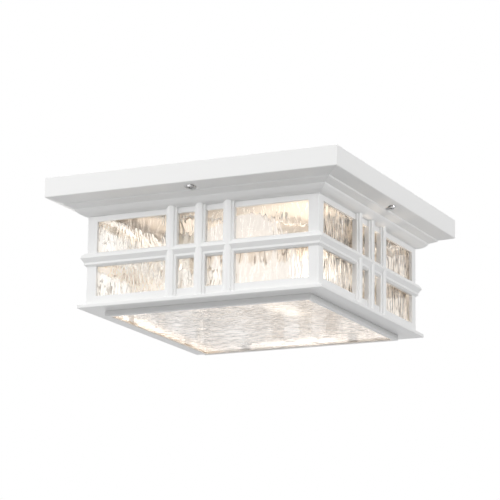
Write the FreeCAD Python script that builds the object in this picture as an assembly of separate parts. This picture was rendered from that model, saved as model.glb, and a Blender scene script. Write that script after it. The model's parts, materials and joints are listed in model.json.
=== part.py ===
import FreeCAD, Part
import math
import os

from FreeCAD import Vector

# Outdoor ceiling light: a square flush lantern with a stepped crown, beaded window bars and
# rippled glass. Millimetres, +Z up. The origin is the centre of the ceiling plane, and the
# light hangs below it. The front is the -Y side and the right is the +X side.

os.makedirs("parts", exist_ok=True)

# Overall sizes
light_width = 304.8
fascia_height = 19.5
crown_height = 15.2
body_width = 242.6
side_height = 86.9
flange_thickness = 3.6
lens_frame_drop = 5.3

# How far the crown's throat and the base stand in or out from the body and its screws
throat_margin = 13.3
flange_overhang = 6.1
lens_screw_margin = 3.55

# Clearances and overruns
seat_gap = 0.2
slide_gap = 0.3
thread_gap = 0.05
cut_overrun = 5.0
edge_softening = 0.5

# Crown casting, with its outline as shares of the crown's inset and height
cap_wall = 1.8
ledge_share = (0.428, 0.263)
first_lip_share = (0.450, 0.355)
band_share = (0.669, 0.553)
second_lip_share = (0.688, 0.651)
ovolo_middle_share = (0.817, 0.875)
crown_end_share = (1.0, 1.0)

# Cover screws, one at the middle of each side of the crown's ledge
cover_screw_inset = 8.0
spotface_radius = 6.0
spotface_depth = 1.5
cover_boss_radius = 5.4
cover_hole_radius = 2.3
cover_shank_radius = 1.95
cover_shank_length = 10.0
cover_head_radius = 3.7
cover_head_height = 2.7
recess_width = 1.0
recess_reach = 2.1
recess_depth = 1.4
head_edge_share = 0.45

# Ceiling pan
pan_gap = 0.8
pan_sheet = 1.2
pan_depth = 17.2
pan_corner_radius = 5.0
pan_collar_wall = 1.2
pan_collar_height = 4.0
wire_hole_radius = 8.0

# Mounting strap, with slots for the screws of an outlet box
strap_length = 112.0
strap_width = 20.0
strap_thickness = 1.5
box_screw_spacing = 88.9
box_slot_length = 14.0
box_slot_radius = 2.4
strap_centre_hole_radius = 5.2
stud_spacing = 57.2
stud_radius = 2.0
stud_reach = 5.0
cap_nut_radius = 4.6
cap_nut_hex_height = 3.4
cap_nut_dome_height = 3.4
cap_nut_floor = 1.6
ground_screw_x = 15.0
ground_head_radius = 3.6
ground_head_height = 1.8
ground_shank_radius = 1.7

# Side frames: corner posts, rails, belt moulding and beaded window bars
frame_thickness = 3.0
post_width = 10.5
top_rail_height = 5.3
bottom_rail_height = 8.5
belt_top_drop = 35.8
belt_height = 13.8
bar_spacing = 30.0
bars_per_side = 3
bar_width = 11.6
bead_width = 6.8
bead_projection = 4.7
bar_cope = 2.0
post_softening = 0.6
fillet_projection = 2.1
fillet_round_share = 0.25
bead_shoulder_share = 0.76
belt_nose_share = 0.40
belt_swell_share = (0.15, 0.64)
belt_step_share = 0.71
belt_fillet_end_share = 0.86

# Glass
glass_thickness = 3.0
pane_top_gap = 0.6
glass_edge_gap = 0.3

# Lens frame and its clips
lens_wall = 2.5
lens_lip_thickness = 1.2
lens_lip_width = 1.7
lens_shoulder_width = 5.5
lens_shoulder_thickness = 2.4
clip_width = 9.0
clip_sheet = 0.8
clip_spread = 60.0
clip_foot = 3.0
clip_screw_radius = 1.2
clip_head_radius = 2.3
clip_head_height = 1.4

# Corner angles and their screws
angle_leg = 5.0
angle_tab = 12.0
angle_sheet = 1.2
corner_screw_radius = 1.5
corner_head_radius = 2.7
corner_head_height = 1.8
corner_screw_bite = 2.6

# Lampholders and bulbs
lamp_offset = 45.0
lamp_drop = 58.0
holder_back = 68.0
holder_length = 34.0
holder_radius = 17.5
holder_neck_radius = 15.0
holder_neck_length = 9.0
holder_bore_depth = 27.0
shell_wall = 0.45
shell_gap = 0.15
shell_length = 24.0
contact_radius = 4.0
contact_height = 1.2
bulb_base_radius = 12.9
bulb_base_length = 21.0
bulb_tip_length = 4.0
bulb_tip_radius = 4.5
bulb_radius = 30.0
bulb_length = 108.0
bulb_neck_radius = 12.3
bulb_wall = 0.9
bracket_sheet = 1.5
bracket_width = 26.0
bracket_foot = 20.0
bracket_leg_end = 15.0
bracket_corner = 3.0
holder_screw_spread = 9.0
holder_screw_radius = 1.6
holder_screw_bite = 5.0
small_head_radius = 3.0
small_head_height = 1.9

# Wiring: two leads from each lampholder, joined under three wire connectors
lead_radius = 1.05
lead_spread = 4.0
lead_socket_depth = 4.0
lead_drop = 5.0
lead_rise = 8.0
lead_pair = 1.35
lead_pitch = 1.9
lead_turn_share = 0.55
arc_share = 0.45
bushing_flange = 1.6
bushing_sheet = 1.5
bushing_wall = 2.2
connector_length = 18.0
connector_mouth_radius = 5.4
connector_tip_radius = 3.6
connector_place = (33.0, 19.0)
ground_connector_place = (34.0, 31.0)
lead_bite = 5.0

# Levels and widths that follow from the sizes above
light_half = light_width / 2
body_half = body_width / 2
crown_inset = light_half - body_half
crown_z = -fascia_height - crown_height
flange_top_z = crown_z - side_height
flange_z = flange_top_z - flange_thickness
lens_z = flange_z - lens_frame_drop
throat_half = body_half - throat_margin
glass_half = body_half - frame_thickness
angle_half = glass_half - glass_thickness
corner_screw_place = (throat_half + angle_half - angle_sheet) / 2
lens_half = corner_screw_place - lens_screw_margin
lens_inner_half = lens_half - lens_wall
shoulder_half = lens_half + lens_shoulder_width
shoulder_top_z = flange_top_z + lens_shoulder_thickness
lens_glass_z = lens_z + lens_lip_thickness
pan_half = light_half - cap_wall - pan_gap
pan_inner_half = pan_half - pan_sheet
pan_floor_z = pan_sheet - pan_depth
cover_screw_place = light_half - cover_screw_inset
cover_seat_z = -fascia_height - spotface_depth
flange_half = body_half + flange_overhang
belt_top_z = crown_z - belt_top_drop
belt_bottom_z = belt_top_z - belt_height
stud_places = (-stud_spacing / 2, stud_spacing / 2)
holder_bore_radius = bulb_base_radius + shell_gap + shell_wall + thread_gap
holder_floor = holder_length - holder_back - holder_bore_depth
bulb_tip_x = holder_floor + contact_height + slide_gap
lead_x = holder_neck_length / 2 - holder_back
lead_start_z = holder_neck_radius - lamp_drop - lead_socket_depth

up = Vector(0, 0, 1)
origin = Vector(0, 0, 0)
quarter_turn = 90
full_turn = 360
hex_sides = 6
sides = ["front", "right", "back", "left"]
corner_names = ["front_left", "front_right", "back_right", "back_left"]


def save(shape, node):
    """Writes one node's solids."""
    shape.exportStep("parts/" + node + ".step")
    count = len(shape.Solids)
    print(node, count, "solid" if count == 1 else "solids", "valid" if shape.isValid() else "NOT VALID")


def turned(shape, quarters):
    """A copy turned about the light's axis by a number of quarter turns."""
    copy = shape.copy()
    copy.rotate(origin, up, quarter_turn * quarters)
    return copy


def group(shapes):
    """Separate solids that share one node."""
    return Part.makeCompound(shapes)


def slab(x_low, x_high, y_low, y_high, z_low, z_high):
    """A box between two corners."""
    return Part.makeBox(x_high - x_low, y_high - y_low, z_high - z_low, Vector(x_low, y_low, z_low))


def rod(radius, x, y, z_low, z_high):
    """An upright cylinder."""
    return Part.makeCylinder(radius, z_high - z_low, Vector(x, y, z_low))


def closed_face(edges):
    """A flat face inside a closed run of edges."""
    return Part.Face(Part.Wire(edges))


def outline(points):
    """Edges through points in turn, and back to the first. A point given as (through, end) is an
    arc from the last point, through the first of the pair, to the second."""
    edges = []
    last = points[0]
    for point in points[1:] + points[:1]:
        if isinstance(point, tuple):
            edges.append(Part.Arc(last, point[0], point[1]).toShape())
            last = point[1]
        else:
            edges.append(Part.LineSegment(last, point).toShape())
            last = point
    return edges


def wedge():
    """The quarter of space in front of the light's two diagonals."""
    corners = [origin, Vector(light_width, -light_width, 0), Vector(-light_width, -light_width, 0)]
    prism = closed_face(outline(corners)).extrude(up * light_width * 2)
    prism.translate(-up * light_width)
    return prism


def mitred_run(points):
    """A moulding along the front, from an outline of (half width, level) points, mitred at both
    corners. An arc is given as ((half width, level), (half width, level)): through and end."""
    def place(pair):
        return Vector(-light_width, -pair[0], pair[1])

    placed = []
    for pair in points:
        is_arc = isinstance(pair[0], tuple)
        placed.append((place(pair[0]), place(pair[1])) if is_arc else place(pair))
    run = closed_face(outline(placed)).extrude(Vector(light_width * 2, 0, 0))
    return run.common(wedge())


def square_ring(points):
    """A moulding on all four sides, joined at its mitres."""
    run = mitred_run(points)
    ring = run.fuse([turned(run, quarters) for quarters in (1, 2, 3)])
    return ring.removeSplitter()


def rounded_square(half, radius, z_low, z_high):
    """An upright prism with a square outline and rounded corners."""
    block = slab(-half, half, -half, half, z_low, z_high)
    corners = [edge for edge in block.Edges if abs(edge.CenterOfMass.x) > half - thread_gap
               and abs(edge.CenterOfMass.y) > half - thread_gap]
    return block.makeFillet(radius, corners)


def spun(points, axis_point, axis):
    """A solid of revolution from an outline of vectors."""
    return closed_face(outline(points)).revolve(axis_point, axis, quarter_turn * 4)


def domed_head(radius, edge, height, x, y, z, toward):
    """A head with a straight edge and a dome of one round arc, seated at z and standing up (1) or
    down (-1) from it."""
    dome = height - edge
    ball = (radius * radius + dome * dome) / (2 * dome)
    half_angle = math.asin(radius / ball) / 2
    middle = Vector(x + ball * math.sin(half_angle), y,
                    z + toward * (height - ball + ball * math.cos(half_angle)))
    points = [Vector(x, y, z), Vector(x + radius, y, z), Vector(x + radius, y, z + toward * edge),
              (middle, Vector(x, y, z + toward * height))]
    return spun(points, Vector(x, y, z), up)


def crown_points(shift):
    """The crown from the fascia's lower edge to the second lip, then its ovolo as (through, end),
    all moved inward and up by a shift."""
    def at(share):
        inset = crown_inset * share[0] + shift
        return (light_half - inset, -fascia_height - crown_height * share[1] + shift)

    steps = [at(ledge_share), at(first_lip_share), at(band_share), at(second_lip_share)]
    return steps, (at(ovolo_middle_share), at(crown_end_share))


def crown_block():
    """The crown as a solid moulding, before it is hollowed."""
    steps, ovolo = crown_points(0)
    ledge_slope = crown_height * ledge_share[1] / (crown_inset * ledge_share[0])
    fascia = [(light_half - edge_softening, 0), (light_half, -edge_softening),
              (light_half, edge_softening - fascia_height),
              (light_half - edge_softening, -fascia_height - edge_softening * ledge_slope)]
    return square_ring(fascia + steps + [ovolo, (throat_half, crown_z), (throat_half, 0)])


def canopy_cap(block):
    """The crown casting: hollow, with screw bosses behind its ledge and a seat for the sides."""
    steps, ovolo = crown_points(cap_wall)
    inner_face = light_half - cap_wall
    hollow = square_ring([(inner_face, cut_overrun), (inner_face, cap_wall - fascia_height)] + steps
                         + [ovolo, (throat_half - cut_overrun, crown_z + cap_wall),
                            (throat_half - cut_overrun, cut_overrun)])
    boss_top = -pan_depth - slide_gap
    boss = rod(cover_boss_radius, 0, -cover_screw_place, crown_z, boss_top)
    cap = block.cut(hollow.cut([turned(boss, quarters) for quarters in range(len(sides))]))
    spotface = rod(spotface_radius, 0, -cover_screw_place, crown_z, cover_seat_z)
    hole = rod(cover_hole_radius, 0, -cover_screw_place, crown_z, boss_top + cut_overrun)
    cuts = [turned(cut, quarters) for cut in (spotface, hole) for quarters in range(len(sides))]
    cuts += corner_rods(corner_screw_radius + thread_gap, crown_z - cut_overrun,
                        crown_z + cap_wall + cut_overrun)
    return cap.cut(cuts).removeSplitter()


def cross_recess(x, y, z, toward):
    """The cutter for a cross recess in a head whose crown is at z; toward is the way it faces."""
    floor = z - toward * recess_depth
    mouth = z + toward * cut_overrun
    low, high = min(floor, mouth), max(floor, mouth)
    half = recess_width / 2
    cutter = slab(x - recess_reach, x + recess_reach, y - half, y + half, low, high)
    return cutter.fuse(slab(x - half, x + half, y - recess_reach, y + recess_reach, low, high))


def screw(shank_radius, head_radius, head_height, x, y, seat, tip):
    """A pan-head screw on an upright axis, from its tip to a head seated at seat."""
    toward = 1 if seat > tip else -1
    shank = rod(shank_radius, x, y, min(seat, tip), max(seat, tip))
    head = domed_head(head_radius, head_height * head_edge_share, head_height, x, y, seat, toward)
    cutter = cross_recess(x, y, seat + toward * head_height, toward)
    return shank.fuse(head).cut(cutter).removeSplitter()


def corner_rods(radius, z_low, z_high):
    """Four upright cylinders on the corner screws' axes."""
    places = (-corner_screw_place, corner_screw_place)
    return [rod(radius, x, y, z_low, z_high) for x in places for y in places]


def corner_screws():
    """Screws that tie the corner angles to the crown above and to the base below."""
    screws = []
    for axis_rod in corner_rods(corner_screw_radius, 0, corner_screw_radius):
        x, y = axis_rod.CenterOfMass.x, axis_rod.CenterOfMass.y
        screws.append(screw(corner_screw_radius, corner_head_radius, corner_head_height, x, y,
                            crown_z + cap_wall, crown_z - angle_sheet - edge_softening))
        screws.append(screw(corner_screw_radius, corner_head_radius, corner_head_height, x, y,
                            shoulder_top_z + angle_sheet, flange_top_z - corner_screw_bite))
    return group(screws)


def ceiling_pan():
    """The pan that is held to the ceiling: an open tray with threaded collars for the cover screws."""
    pan = rounded_square(pan_half, pan_corner_radius, -pan_depth, 0)
    pan = pan.cut(rounded_square(pan_inner_half, pan_corner_radius - pan_sheet, pan_floor_z, cut_overrun))
    thread = cover_shank_radius + slide_gap
    collar = rod(thread + pan_collar_wall, 0, -cover_screw_place, -pan_depth,
                 pan_floor_z + pan_collar_height)
    pan = pan.fuse([turned(collar, quarters) for quarters in range(len(sides))])
    z_low, z_high = -pan_depth - cut_overrun, pan_floor_z + pan_collar_height + cut_overrun
    bore = rod(thread, 0, -cover_screw_place, z_low, z_high)
    cuts = [turned(bore, quarters) for quarters in range(len(sides))]
    cuts.append(rod(wire_hole_radius, 0, 0, z_low, z_high))
    cuts += [rod(stud_radius + thread_gap, x, 0, z_low, z_high) for x in stud_places]
    for x, y in bracket_screw_places():
        cuts.append(rod(holder_screw_radius + thread_gap, x, y, z_low, z_high))
    return pan.cut(cuts).removeSplitter()


def mounting_strap():
    """The strap that goes across an outlet box, with two slots for the box's screws."""
    z_low, z_high = -strap_thickness, 0
    strap = slab(-strap_length / 2, strap_length / 2, -strap_width / 2, strap_width / 2, z_low, z_high)
    corners = [edge for edge in strap.Edges if abs(edge.Length - strap_thickness) < thread_gap]
    strap = strap.makeFillet(strap_width * arc_share / 2, corners)
    cuts = [rod(strap_centre_hole_radius, 0, 0, z_low - cut_overrun, cut_overrun)]
    for x in (-box_screw_spacing / 2, box_screw_spacing / 2):
        reach = box_slot_length / 2 - box_slot_radius
        cuts.append(slab(x - reach, x + reach, -box_slot_radius, box_slot_radius,
                         z_low - cut_overrun, cut_overrun))
        for end in (x - reach, x + reach):
            cuts.append(rod(box_slot_radius, end, 0, z_low - cut_overrun, cut_overrun))
    for x in stud_places:
        cuts.append(rod(stud_radius + thread_gap, x, 0, z_low - cut_overrun, cut_overrun))
    cuts.append(rod(ground_shank_radius + thread_gap, ground_screw_x, 0, z_low - cut_overrun, cut_overrun))
    return strap.cut(cuts).removeSplitter()


def cap_nut(x):
    """A domed nut that holds the pan up on its stud."""
    corners = []
    for corner in range(hex_sides):
        angle = math.radians(full_turn / hex_sides * corner)
        corners.append(Vector(x + cap_nut_radius * math.cos(angle), cap_nut_radius * math.sin(angle),
                              -pan_depth - cap_nut_hex_height))
    hexagon = closed_face(outline(corners)).extrude(up * cap_nut_hex_height)
    dome_z = -pan_depth - cap_nut_hex_height
    dome_radius = cap_nut_radius * math.cos(math.pi / hex_sides) - thread_gap
    dome = domed_head(dome_radius, edge_softening, cap_nut_dome_height, x, 0, dome_z, -1)
    bore_floor = dome_z - cap_nut_dome_height + cap_nut_floor
    return hexagon.fuse(dome).cut(rod(stud_radius + thread_gap, x, 0, bore_floor, 0)).removeSplitter()


def wire_bushing():
    """The plastic bushing that lines the pan's wire hole, snapped in from below."""
    inner = wire_hole_radius - bushing_wall
    outer = wire_hole_radius - thread_gap
    flange = wire_hole_radius + bushing_flange
    points = [(inner, -pan_depth - bushing_sheet), (flange, -pan_depth - bushing_sheet),
              (flange, -pan_depth), (outer, -pan_depth), (outer, pan_floor_z),
              (wire_hole_radius + bushing_flange * arc_share, pan_floor_z + thread_gap),
              (outer, pan_floor_z + bushing_sheet), (inner, pan_floor_z + bushing_sheet)]
    return spun([Vector(r, 0, z) for r, z in points], origin, up)


def lamp_axis_solid(points):
    """A solid of revolution on the first lamp's axis, from (x, radius) points; an arc is a pair."""
    def place(pair):
        return Vector(pair[0], -lamp_offset, -lamp_drop + pair[1])

    placed = []
    for pair in points:
        is_arc = isinstance(pair[0], tuple)
        placed.append((place(pair[0]), place(pair[1])) if is_arc else place(pair))
    return spun(placed, Vector(0, -lamp_offset, -lamp_drop), Vector(1, 0, 0))


def lampholder():
    """The porcelain lampholder, with a bore for the bulb and blind holes for its leads and screws."""
    mouth = holder_length - holder_back
    neck = holder_neck_length - holder_back
    body = lamp_axis_solid([(-holder_back, 0), (-holder_back, holder_neck_radius),
                            (neck, holder_neck_radius), (neck + edge_softening, holder_radius),
                            (mouth - edge_softening, holder_radius),
                            (mouth, holder_radius - edge_softening), (mouth, holder_bore_radius),
                            (holder_floor, holder_bore_radius), (holder_floor, 0)])
    cuts = []
    for side in (-1, 1):
        cuts.append(rod(lead_radius + thread_gap, lead_x, -lamp_offset + side * lead_spread,
                        lead_start_z - thread_gap, -lamp_drop + holder_radius))
        cuts.append(Part.makeCylinder(holder_screw_radius + thread_gap, holder_screw_bite + cut_overrun,
                                      Vector(-holder_back - cut_overrun,
                                             -lamp_offset + side * holder_screw_spread, -lamp_drop),
                                      Vector(1, 0, 0)))
    return body.cut(cuts)


def screw_shell():
    """The threaded metal sleeve in the lampholder's bore."""
    inner = bulb_base_radius + shell_gap
    start = holder_floor + edge_softening
    return lamp_axis_solid([(start, inner), (start, inner + shell_wall),
                            (start + shell_length, inner + shell_wall), (start + shell_length, inner)])


def centre_contact():
    """The contact button at the bottom of the bore."""
    return lamp_axis_solid([(holder_floor, 0), (holder_floor, contact_radius),
                            (holder_floor + contact_height / 2, contact_radius),
                            (holder_floor + contact_height, contact_radius / 2),
                            (holder_floor + contact_height, 0)])


def bulb_base():
    """The bulb's metal base: a cup for the glass, with its insulator and tip."""
    start = bulb_tip_x + bulb_tip_length
    end = start + bulb_base_length
    inner = bulb_base_radius - shell_wall
    return lamp_axis_solid([(bulb_tip_x, 0), (bulb_tip_x, bulb_tip_radius / 2),
                            (bulb_tip_x + bulb_tip_length / 4, bulb_tip_radius),
                            (bulb_tip_x + bulb_tip_length / 2, bulb_tip_radius),
                            (start, bulb_base_radius), (end, bulb_base_radius), (end, inner),
                            (start + bulb_tip_length, inner), (start + bulb_tip_length, 0)])


def bulb_outline(start, neck, bulb, end):
    """Half of a bulb's outline: a straight neck, an arc that meets the round end level, the end."""
    widest = end - bulb
    swell_start = start + bulb_base_length - bulb_tip_length
    run, rise = widest - swell_start, bulb - neck
    swell = (run * run + rise * rise) / (2 * rise)
    middle_x = widest - run / 2
    middle = bulb - swell + math.sqrt(swell * swell - run * run / 4)
    diagonal = bulb * math.sqrt(2) / 2
    return [(start, 0), (start, neck), (swell_start, neck), ((middle_x, middle), (widest, bulb)),
            ((widest + diagonal, diagonal), (end, 0))]


def bulb_glass():
    """The bulb's thin envelope, whose neck sits in the base."""
    start = bulb_tip_x + 2 * bulb_tip_length + thread_gap
    end = bulb_tip_x + bulb_length
    envelope = lamp_axis_solid(bulb_outline(start, bulb_neck_radius, bulb_radius, end))
    inside = lamp_axis_solid(bulb_outline(start + bulb_wall, bulb_neck_radius - bulb_wall,
                                          bulb_radius - bulb_wall, end - bulb_wall))
    return envelope.cut(inside)


def lamp_bracket():
    """The bent bracket that hangs the lampholder from the pan."""
    y_low, y_high = -lamp_offset - bracket_width / 2, -lamp_offset + bracket_width / 2
    back = -holder_back - bracket_sheet
    leg = slab(back, -holder_back, y_low, y_high, -lamp_drop - bracket_leg_end, -pan_depth)
    foot = slab(back - bracket_foot, back, y_low, y_high, -pan_depth - bracket_sheet, -pan_depth)
    bracket = leg.fuse(foot).removeSplitter()
    free_corners = [edge for edge in bracket.Edges if abs(edge.Length - bracket_sheet) < thread_gap
                    and (abs(edge.CenterOfMass.x - back + bracket_foot) < thread_gap
                         or abs(edge.CenterOfMass.z + lamp_drop + bracket_leg_end) < thread_gap)]
    bracket = bracket.makeFillet(bracket_corner, free_corners)
    for x, y in bracket_screw_places()[:2]:
        bracket = bracket.cut(rod(holder_screw_radius + thread_gap, x, y, crown_z, 0))
    for side in (-1, 1):
        bracket = bracket.cut(Part.makeCylinder(
            holder_screw_radius + thread_gap, 2 * cut_overrun + bracket_sheet,
            Vector(back - cut_overrun, -lamp_offset + side * holder_screw_spread, -lamp_drop),
            Vector(1, 0, 0)))
    return bracket


def bracket_screw_places():
    """The axes of the screws that hold both brackets' feet to the pan, the first bracket's first."""
    x = -holder_back - bracket_sheet - bracket_foot / 2
    first = [(x, -lamp_offset + side * bracket_width / 4) for side in (-1, 1)]
    return first + [(-x, -y) for x, y in first]


def bracket_screws():
    """Screws from below through the brackets' feet into the pan."""
    seat = -pan_depth - bracket_sheet
    tip = pan_floor_z + holder_screw_radius * 2
    return group([screw(holder_screw_radius, small_head_radius, small_head_height, x, y, seat, tip)
                  for x, y in bracket_screw_places()])


def holder_screws():
    """Screws from behind through each bracket's leg into its lampholder."""
    screws = []
    back = -holder_back - bracket_sheet
    for side in (-1, 1):
        upright = screw(holder_screw_radius, small_head_radius, small_head_height, 0, 0, 0,
                        -bracket_sheet - holder_screw_bite)
        upright.rotate(origin, Vector(0, 1, 0), -quarter_turn)
        upright.translate(Vector(back, -lamp_offset + side * holder_screw_spread, -lamp_drop))
        screws.append(upright)
    return group(screws + [turned(each, 2) for each in screws])


def tube(radius, points):
    """A wire through points, with straight runs joined by tangent arcs as large as the runs allow."""
    edges = []
    last = points[0]
    for before, corner, after in zip(points, points[1:], points[2:]):
        back_run, ahead_run = before - corner, after - corner
        turn = math.pi - back_run.getAngle(ahead_run)
        reach = arc_share * min(back_run.Length, ahead_run.Length)
        bend = reach / math.tan(turn / 2)
        start = corner + back_run.normalize() * reach
        end = corner + ahead_run.normalize() * reach
        inward = (back_run + ahead_run).normalize()
        middle = corner + inward * (bend / math.cos(turn / 2) - bend)
        edges.append(Part.LineSegment(last, start).toShape())
        edges.append(Part.Arc(start, middle, end).toShape())
        last = end
    edges.append(Part.LineSegment(last, points[-1]).toShape())
    path = Part.Wire(edges)
    section = Part.Wire([Part.Circle(points[0], points[1] - points[0], radius).toShape()])
    solid = path.makePipe(Part.Face(section))
    expected = math.pi * radius * radius * path.Length
    print("wire length", round(path.Length, 1), "volume share", round(solid.Volume / expected, 4))
    return solid


def lead(side):
    """One lead of the first lampholder: up from its back, along the pan, through the bushing and
    into a connector. The side is 1 for the outer lead and -1 for the inner one."""
    run_z = -pan_depth - lead_drop
    y = -lamp_offset - side * lead_spread
    connector_x, connector_y = connector_place
    return tube(lead_radius, [
        Vector(lead_x, y, lead_start_z),
        Vector(lead_x, y, run_z),
        Vector(-lead_pitch, -side * lead_pair, run_z),
        Vector(-lead_pitch, -side * lead_pair, -lead_rise),
        Vector(side * connector_x * lead_turn_share, -side * (connector_y + side * lead_pair), -lead_rise),
        Vector(side * (connector_x + lead_bite), -side * (connector_y + side * lead_pair), -lead_rise)])


def ground_lead():
    """The bare lead from the strap's ground screw to its own connector."""
    connector_x, connector_y = ground_connector_place
    beside = ground_shank_radius + lead_radius + thread_gap
    below = -strap_thickness - lead_radius - thread_gap
    return tube(lead_radius, [
        Vector(ground_screw_x - ground_head_radius, beside, below),
        Vector(ground_screw_x + 2 * ground_head_radius, beside, below),
        Vector(ground_screw_x + 2 * ground_head_radius, connector_y / 2, (below - lead_rise) / 2),
        Vector(connector_x - lead_bite, connector_y, -lead_rise),
        Vector(connector_x + lead_bite, connector_y, -lead_rise)])


def ground_screw():
    """The screw that clamps the ground lead to the strap."""
    seat = -strap_thickness - 2 * lead_radius - 2 * thread_gap
    return screw(ground_shank_radius, ground_head_radius, ground_head_height, ground_screw_x, 0, seat,
                 -seat_gap)


def connector(place, heading, bore):
    """A wire connector lying in the pan; its mouth faces the middle of the light."""
    x, y = place
    floor = lead_bite + edge_softening
    points = [(connector_length, 0), (connector_length, connector_tip_radius - edge_softening),
              (connector_length - edge_softening, connector_tip_radius), (0, connector_mouth_radius),
              (0, bore), (floor, bore), (floor, 0)]
    placed = [Vector(x + heading * along, y, -lead_rise + radius) for along, radius in points]
    return spun(placed, Vector(x, y, -lead_rise), Vector(1, 0, 0))


def wire_connectors():
    """Live, neutral and ground connectors."""
    pair_bore = lead_pair + lead_radius + slide_gap
    x, y = connector_place
    return group([connector((-x, y), -1, pair_bore), connector((x, -y), 1, pair_bore),
                  connector(ground_connector_place, 1, lead_radius + slide_gap)])


def bar_profile(place):
    """A window bar's section at a place along the front: a rounded bead between two fillets."""
    back = body_half - frame_thickness
    face = body_half
    half, bead = bar_width / 2, bead_width / 2
    ease = fillet_projection * fillet_round_share
    step = face + fillet_projection
    shoulder = face + bead_projection * bead_shoulder_share

    def at(x, w):
        return Vector(place + x, -w, flange_top_z)

    return [at(-half, back), at(half, back), at(half, step - ease), at(half - ease, step),
            at(bead, step), at(bead, shoulder),
            (at(0, face + bead_projection), at(-bead, shoulder)),
            at(-bead, step), at(ease - half, step), at(-half, step - ease)]


def side_frame(block):
    """One side: corner posts, rails and window bars in one casting, mitred at both ends. The
    bars' tops are coped to the crown."""
    soft, inner = post_softening, body_half - frame_thickness
    corners = [(soft - body_half, body_half), (body_half - soft, body_half),
               (body_half - soft / 2, body_half - soft / 2), (inner, inner), (-inner, inner),
               (soft / 2 - body_half, body_half - soft / 2)]
    plate = closed_face(outline([Vector(x, -w, flange_top_z) for x, w in corners]))
    plate = plate.extrude(up * side_height)

    bar_places = [bar_spacing * (bar - (bars_per_side - 1) / 2) for bar in range(bars_per_side)]
    bounds = [post_width - body_half]
    for place in bar_places:
        bounds += [place - bar_width / 2, place + bar_width / 2]
    bounds.append(body_half - post_width)
    rows = [(belt_top_z, crown_z - top_rail_height), (flange_top_z + bottom_rail_height, belt_bottom_z)]
    windows = [slab(left, right, -body_half - cut_overrun, -inner + cut_overrun, low, high)
               for left, right in zip(bounds[::2], bounds[1::2]) for low, high in rows]
    plate = plate.cut(windows)

    def belt_at(projection, share):
        return (body_half + projection, belt_top_z - belt_height * share)

    swell = belt_at(bead_projection * belt_swell_share[1], belt_swell_share[0])
    belt = mitred_run([(inner, belt_top_z), (body_half, belt_top_z),
                       (swell, belt_at(bead_projection, belt_nose_share)),
                       belt_at(fillet_projection, belt_step_share),
                       belt_at(fillet_projection, belt_fillet_end_share),
                       (body_half, belt_bottom_z), (inner, belt_bottom_z)])
    bars = [closed_face(outline(bar_profile(place))).extrude(up * (side_height + bar_cope))
            for place in bar_places]
    bars = [bar.cut(block) for bar in bars]
    return plate.fuse([belt] + bars).removeSplitter()


def side_pane():
    """The rippled glass behind one side, held at its edges by the corner angles."""
    edge = angle_half - glass_edge_gap
    return slab(-edge, edge, -glass_half, -angle_half, flange_top_z, crown_z - pane_top_gap)


def corner_angle():
    """The angle inside the front left corner: it holds two panes and ties the crown to the base."""
    start, leg, tab = -angle_half, angle_leg - angle_half, angle_tab - angle_half
    sheet = angle_sheet - angle_half
    angle = slab(start, leg, start, sheet, flange_top_z, crown_z)
    angle = angle.fuse([slab(start, sheet, start, leg, flange_top_z, crown_z),
                        slab(start, tab, start, tab, crown_z - angle_sheet, crown_z),
                        slab(start, tab, start, tab, shoulder_top_z, shoulder_top_z + angle_sheet)])
    place = -corner_screw_place
    hole = rod(corner_screw_radius + thread_gap, place, place, flange_z, 0)
    return angle.cut(hole).removeSplitter()


def base_flange():
    """The flat flange under the sides, open in the middle for the lens frame."""
    soft = edge_softening
    opening = lens_half + seat_gap
    flange = square_ring([(opening, flange_z), (flange_half - soft, flange_z),
                          (flange_half, flange_z + soft), (flange_half, flange_top_z - soft),
                          (flange_half - soft, flange_top_z), (opening, flange_top_z)])
    return flange.cut(corner_rods(corner_screw_radius + thread_gap,
                                  flange_top_z - corner_screw_bite - thread_gap, 0))


def clip_screw_places():
    """The axes of the lens clips' screws, two on each side."""
    w = (lens_inner_half + shoulder_half) / 2
    front = [(-clip_spread, -w), (clip_spread, -w)]
    places = list(front)
    for _ in sides[1:]:
        front = [(-y, x) for x, y in front]
        places += front
    return places


def lens_frame():
    """The frame that stands below the flange: its lip holds the glass, its shoulder rests on the flange."""
    soft = edge_softening
    lip_half = lens_inner_half - lens_lip_width
    frame = square_ring([(lip_half, lens_z), (lens_half - soft, lens_z), (lens_half, lens_z + soft),
                         (lens_half, flange_top_z), (shoulder_half, flange_top_z),
                         (shoulder_half, shoulder_top_z), (lens_inner_half, shoulder_top_z),
                         (lens_inner_half, lens_glass_z), (lip_half, lens_glass_z)])
    cuts = corner_rods(corner_screw_radius + thread_gap, flange_z, 0)
    for x, y in clip_screw_places():
        cuts.append(rod(clip_screw_radius + thread_gap, x, y, flange_top_z - cut_overrun, 0))
    return frame.cut(cuts)


def lens_clips():
    """Bent clips that hold the lens down on its lip, with a hole for each screw."""
    inner = lens_inner_half - slide_gap - clip_sheet
    outer = inner + clip_sheet
    top = shoulder_top_z + clip_sheet
    foot = lens_glass_z + glass_thickness
    points = [(outer, foot), (outer, shoulder_top_z), (shoulder_half - edge_softening, shoulder_top_z),
              (shoulder_half - edge_softening, top), (inner, top), (inner, foot + clip_sheet),
              (inner - clip_foot, foot + clip_sheet), (inner - clip_foot, foot)]
    clips = []
    for place in (-clip_spread, clip_spread):
        section = [Vector(place - clip_width / 2, -w, z) for w, z in points]
        clip = closed_face(outline(section)).extrude(Vector(clip_width, 0, 0))
        clips += [turned(clip, quarters) for quarters in range(len(sides))]
    drills = [rod(clip_screw_radius + thread_gap, x, y, flange_z, 0) for x, y in clip_screw_places()]
    return group([clip.cut(drills) for clip in clips])


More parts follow.
